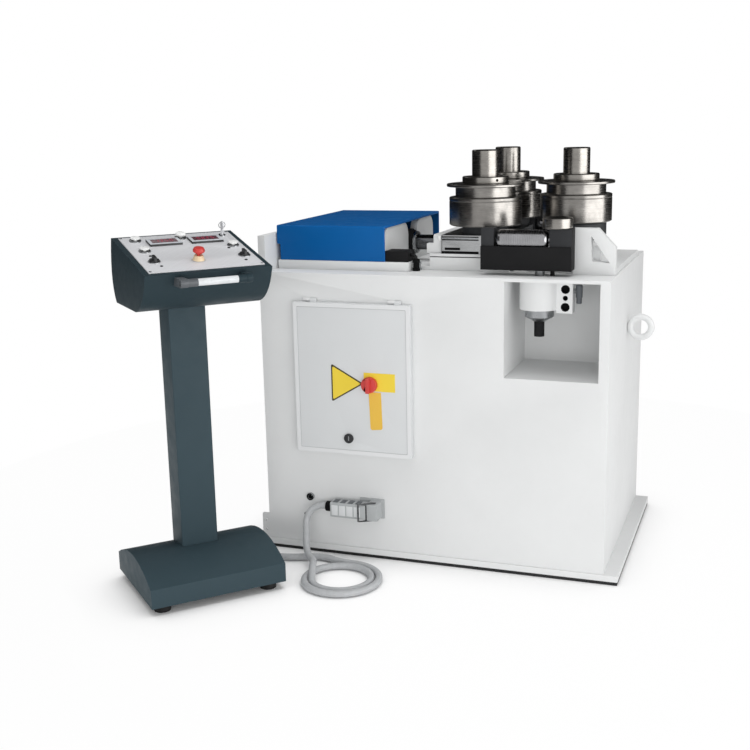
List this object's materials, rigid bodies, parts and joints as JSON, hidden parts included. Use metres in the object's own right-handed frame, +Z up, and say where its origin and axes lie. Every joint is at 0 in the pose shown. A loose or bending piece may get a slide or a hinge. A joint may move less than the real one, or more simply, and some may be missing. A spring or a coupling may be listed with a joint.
{
  "type": "ring roller",
  "caption": "Vertical-shaft section bender with powered rolls on a ram carriage, lifting guide rolls, a floor cabinet and a console on a pedestal.",
  "frame": {"origin": "middle of the base strip's underside, on the floor", "axes": "+X along the front towards the centre roll, +Y to the back, +Z up along the roll shafts"},
  "size_m": [1.5833, 1.4559, 1.327],
  "materials": {
    "machine_grey": "hammered light grey paint",
    "door_grey": "textured light grey powder coat",
    "hood_blue": "satin blue paint",
    "roll_steel": "turned and oiled tool steel",
    "slide_steel": "ground steel",
    "rod_chrome": "hard chrome",
    "black_steel": "black oxide and paint",
    "drive_casting": "dark grey casting paint",
    "slate_paint": "satin slate powder coat",
    "panel_alloy": "fine matt anodised",
    "grey_alloy": "cast grey alloy",
    "red_plastic": "moulded red",
    "white_plastic": "moulded white",
    "grey_plastic": "moulded grey with a metal ring",
    "black_plastic": "moulded black",
    "conduit_grey": "ribbed grey plastic",
    "plug_grey": "die-cast grey"
  },
  "bodies": {
    "machine": {"base_plate": "machine_grey", "base_strip": "black_steel", "cabinet_body": "machine_grey", "ram_bed": "machine_grey", "ram_hood": "hood_blue", "ram_cylinder": "black_steel", "ram_buffer": "black_steel", "slide_bed": "machine_grey", "roll_anchor": "machine_grey", "lifting_eye": "machine_grey", "service_socket": "plug_grey", "connector_base": "plug_grey", "connector_hood": "plug_grey", "mounting_plate": "grey_alloy", "hydraulic_unit": "drive_casting", "lift_cylinder_front": "machine_grey", "lift_cylinder_rear": "machine_grey", "drive_c": "drive_casting", "conduit_drop": "conduit_grey", "conduit_loop": "conduit_grey", "conduit_run": "conduit_grey", "pedestal_base": "slate_paint", "pedestal_column": "slate_paint", "console_shell": "slate_paint", "console_panel": "panel_alloy", "console_handle": "grey_alloy"},
    "carriage": {"carriage_slab": "slide_steel", "carriage_end_plate": "machine_grey", "ram_rod": "rod_chrome", "stroke_sensor": "drive_casting", "drive_a": "drive_casting", "drive_b": "drive_casting"},
    "roll_set_a": {"shaft_a": "roll_steel", "roll_a": "roll_steel", "collar_a": "roll_steel"},
    "roll_set_b": {"shaft_b": "roll_steel", "roll_b": "roll_steel", "collar_b": "roll_steel"},
    "roll_set_c": {"shaft_c": "roll_steel", "roll_c": "roll_steel", "collar_c": "roll_steel"},
    "guide_front": {"guide_yoke_front": "black_steel"},
    "guide_rear": {"guide_yoke_rear": "black_steel"},
    "support_front": {"support_roll_front": "rod_chrome"},
    "support_rear": {"support_roll_rear": "rod_chrome"},
    "side_front": {"side_roll_front": "slide_steel"},
    "side_rear": {"side_roll_rear": "slide_steel"},
    "door": {"cabinet_door": "door_grey"},
    "lock": {"door_lock": "black_plastic"},
    "switch": {"main_switch": "red_plastic"},
    "bail": {"connector_bail": "rod_chrome"},
    "stop": {"stop_button": "red_plastic"},
    "start": {"start_button": "white_plastic"},
    "push_left_rear": {"button_left_rear": "grey_plastic"},
    "push_left_middle": {"button_left_middle": "grey_plastic"},
    "push_right_middle": {"button_right_middle": "grey_plastic"},
    "turn_left": {"selector_left": "black_plastic"},
    "turn_right": {"selector_right": "black_plastic"},
    "key": {"key_lever": "rod_chrome"}
  },
  "joints": [
    {"name": "carriage_slide", "type": "slide", "parent": "machine", "child": "carriage", "axis": [1, 0, 0], "range_m": [-0.09, 0.03]},
    {"name": "roll_a_spin", "type": "hinge", "parent": "carriage", "child": "roll_set_a", "pos_m": [0.116, -0.1555, 1.1], "axis": [0, 0, 1], "continuous": true},
    {"name": "roll_b_spin", "type": "hinge", "parent": "carriage", "child": "roll_set_b", "pos_m": [0.116, 0.1555, 1.1], "axis": [0, 0, 1], "continuous": true},
    {"name": "roll_c_spin", "type": "hinge", "parent": "machine", "child": "roll_set_c", "pos_m": [0.38, 0, 1.1], "axis": [0, 0, 1], "continuous": true},
    {"name": "guide_front_lift", "type": "slide", "parent": "machine", "child": "guide_front", "axis": [0, 0, 1], "range_m": [0, 0.06]},
    {"name": "support_front_spin", "type": "hinge", "parent": "guide_front", "child": "support_front", "pos_m": [0.2715, -0.303, 1.059], "axis": [1, 0, 0], "continuous": true},
    {"name": "side_front_spin", "type": "hinge", "parent": "guide_front", "child": "side_front", "pos_m": [0.379, -0.303, 1.1], "axis": [0, 0, 1], "continuous": true},
    {"name": "guide_rear_lift", "type": "slide", "parent": "machine", "child": "guide_rear", "axis": [0, 0, 1], "range_m": [0, 0.06]},
    {"name": "support_rear_spin", "type": "hinge", "parent": "guide_rear", "child": "support_rear", "pos_m": [0.2715, 0.303, 1.059], "axis": [1, 0, 0], "continuous": true},
    {"name": "side_rear_spin", "type": "hinge", "parent": "guide_rear", "child": "side_rear", "pos_m": [0.379, 0.303, 1.1], "axis": [0, 0, 1], "continuous": true},
    {"name": "door_hinge", "type": "hinge", "parent": "machine", "child": "door", "pos_m": [-0.259, -0.402, 0.866], "axis": [-1, 0, 0], "range_deg": [0, 90]},
    {"name": "door_lock_turn", "type": "hinge", "parent": "door", "child": "lock", "pos_m": [-0.274, -0.41, 0.414], "axis": [0, 1, 0], "range_deg": [0, 90]},
    {"name": "main_switch_turn", "type": "hinge", "parent": "door", "child": "switch", "pos_m": [-0.197, -0.43, 0.599], "axis": [0, 1, 0], "range_deg": [0, 90]},
    {"name": "bail_swing", "type": "hinge", "parent": "machine", "child": "bail", "pos_m": [-0.1897, -0.432, 0.176], "axis": [0, 0, 1], "range_deg": [0, 100]},
    {"name": "stop_push", "type": "slide", "parent": "machine", "child": "stop", "axis": [-0.1615, 0.1506, -0.9753], "range_m": [0, 0.004]},
    {"name": "start_push", "type": "slide", "parent": "machine", "child": "start", "axis": [-0.1615, 0.1506, -0.9753], "range_m": [0, 0.004], "stiffness_N_per_m": 800, "springref_m": -0.001},
    {"name": "button_left_rear_push", "type": "slide", "parent": "machine", "child": "push_left_rear", "axis": [-0.1615, 0.1506, -0.9753], "range_m": [0, 0.004], "stiffness_N_per_m": 800, "springref_m": -0.001},
    {"name": "button_left_middle_push", "type": "slide", "parent": "machine", "child": "push_left_middle", "axis": [-0.1615, 0.1506, -0.9753], "range_m": [0, 0.004], "stiffness_N_per_m": 800, "springref_m": -0.001},
    {"name": "button_right_middle_push", "type": "slide", "parent": "machine", "child": "push_right_middle", "axis": [-0.1615, 0.1506, -0.9753], "range_m": [0, 0.004], "stiffness_N_per_m": 800, "springref_m": -0.001},
    {"name": "selector_left_turn", "type": "hinge", "parent": "machine", "child": "turn_left", "pos_m": [-0.64251, -0.94598, 1.04796], "axis": [0.1615, -0.1506, 0.9753], "range_deg": [-45, 45]},
    {"name": "selector_right_turn", "type": "hinge", "parent": "machine", "child": "turn_right", "pos_m": [-0.45825, -0.74839, 1.04796], "axis": [0.1615, -0.1506, 0.9753], "range_deg": [-45, 45]},
    {"name": "key_turn", "type": "hinge", "parent": "machine", "child": "key", "pos_m": [-0.59291, -0.62281, 1.1038], "axis": [0.1615, -0.1506, 0.9753], "range_deg": [0, 90]}
  ]
}
